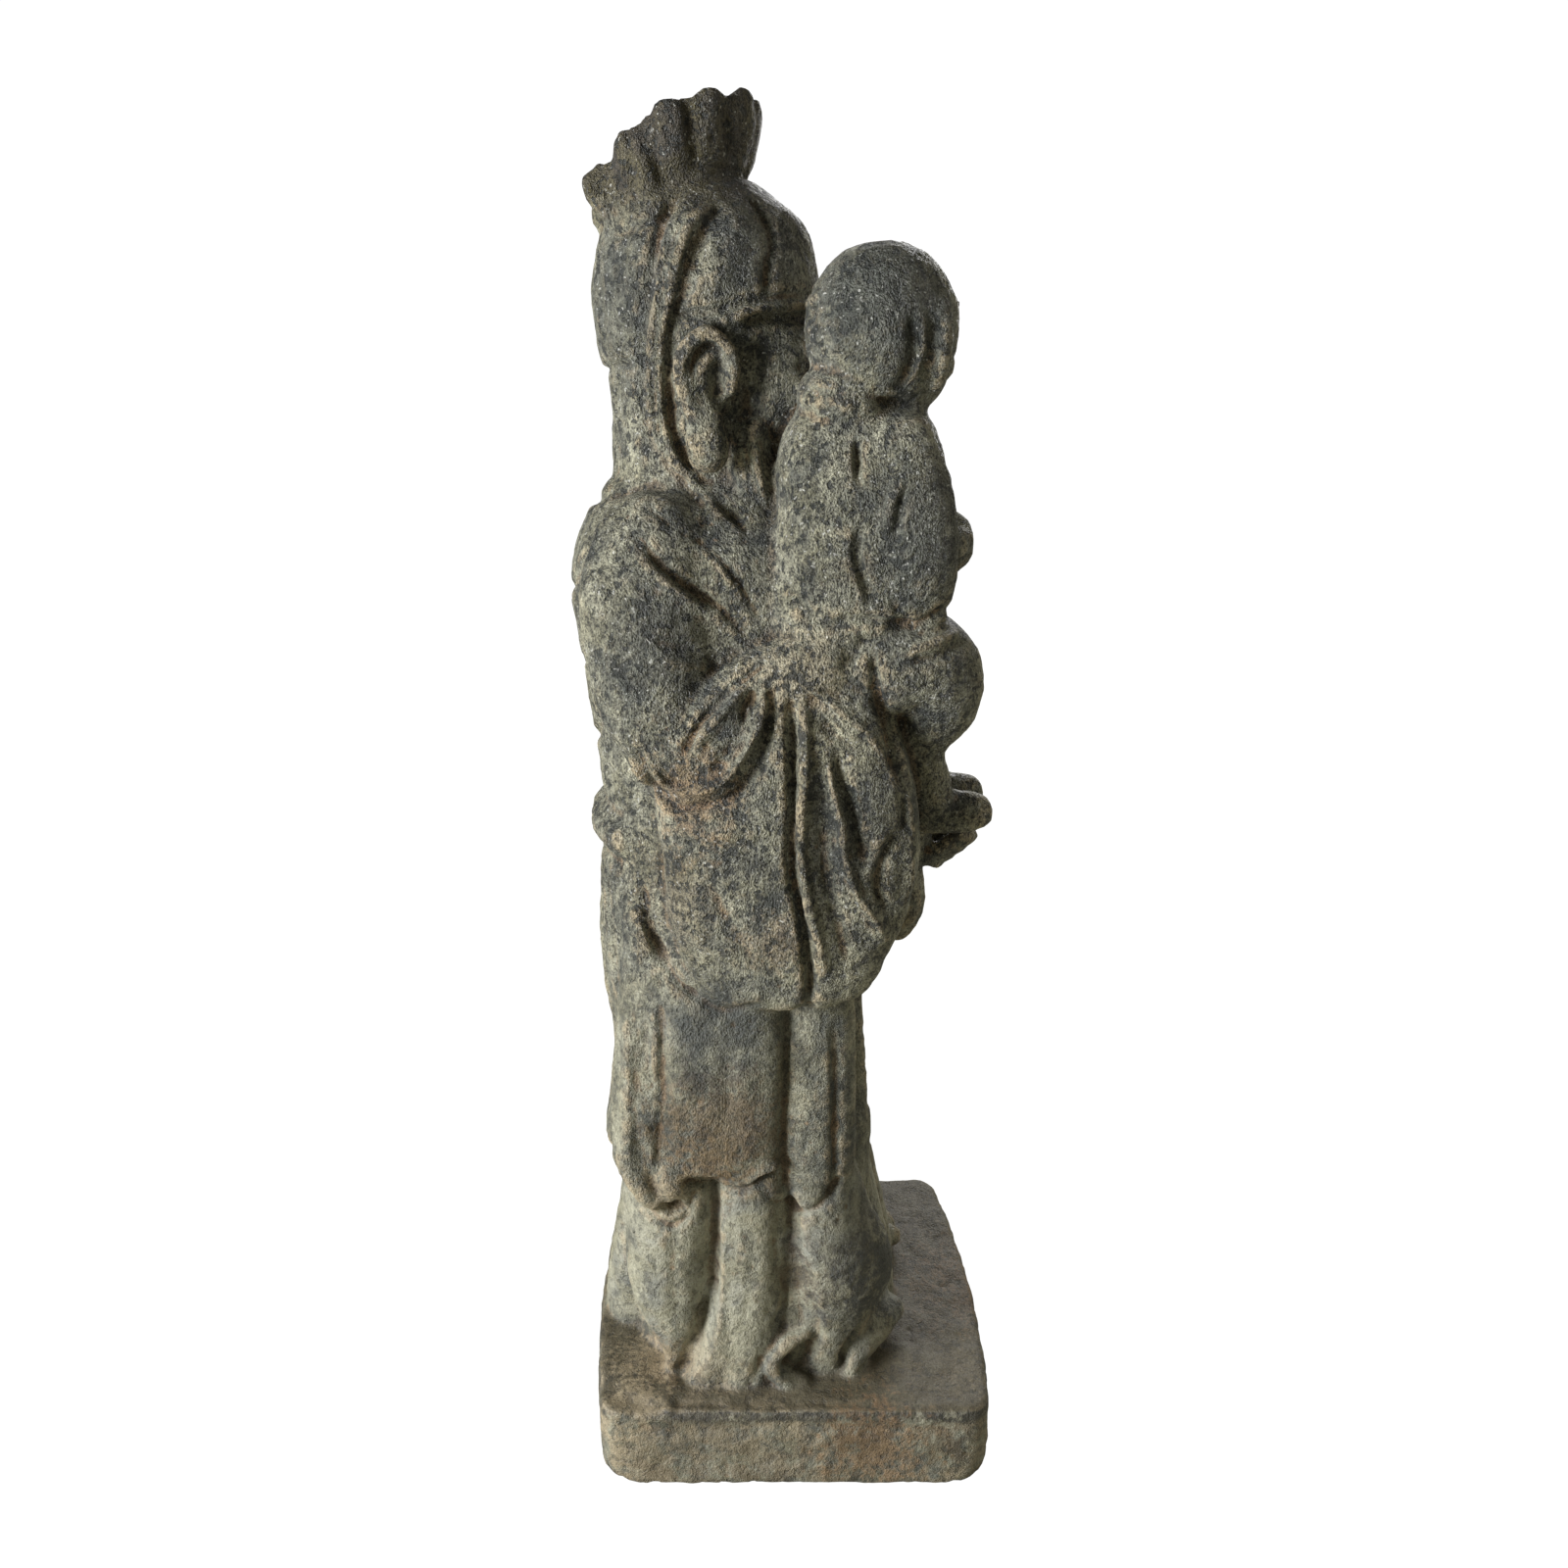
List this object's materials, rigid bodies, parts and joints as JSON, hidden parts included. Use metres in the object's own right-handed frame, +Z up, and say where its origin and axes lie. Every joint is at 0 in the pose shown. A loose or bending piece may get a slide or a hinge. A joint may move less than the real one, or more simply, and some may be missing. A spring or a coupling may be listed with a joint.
{
  "type": "stone statue of a robed elder holding a child",
  "caption": "Carved stone statue of a bearded elder in a lotus-shaped crown, holding a child on the right arm, on a low plinth cut from the same block.",
  "frame": {"origin": "centre of the plinth's underside, which is the surface that the statue stands on", "axes": "+Z up, -Y the way the statue faces, -X its right side, where it holds the child"},
  "size_m": [0.15, 0.1598, 0.4959],
  "materials": {
    "carved_stone": "grey-green speckled stone, hand-carved and dull, with dark patina on the flats, pale worn folds and ochre dust in the creases"
  },
  "bodies": {
    "root": {"elder_and_child_statue": "carved_stone"}
  },
  "joints": []
}
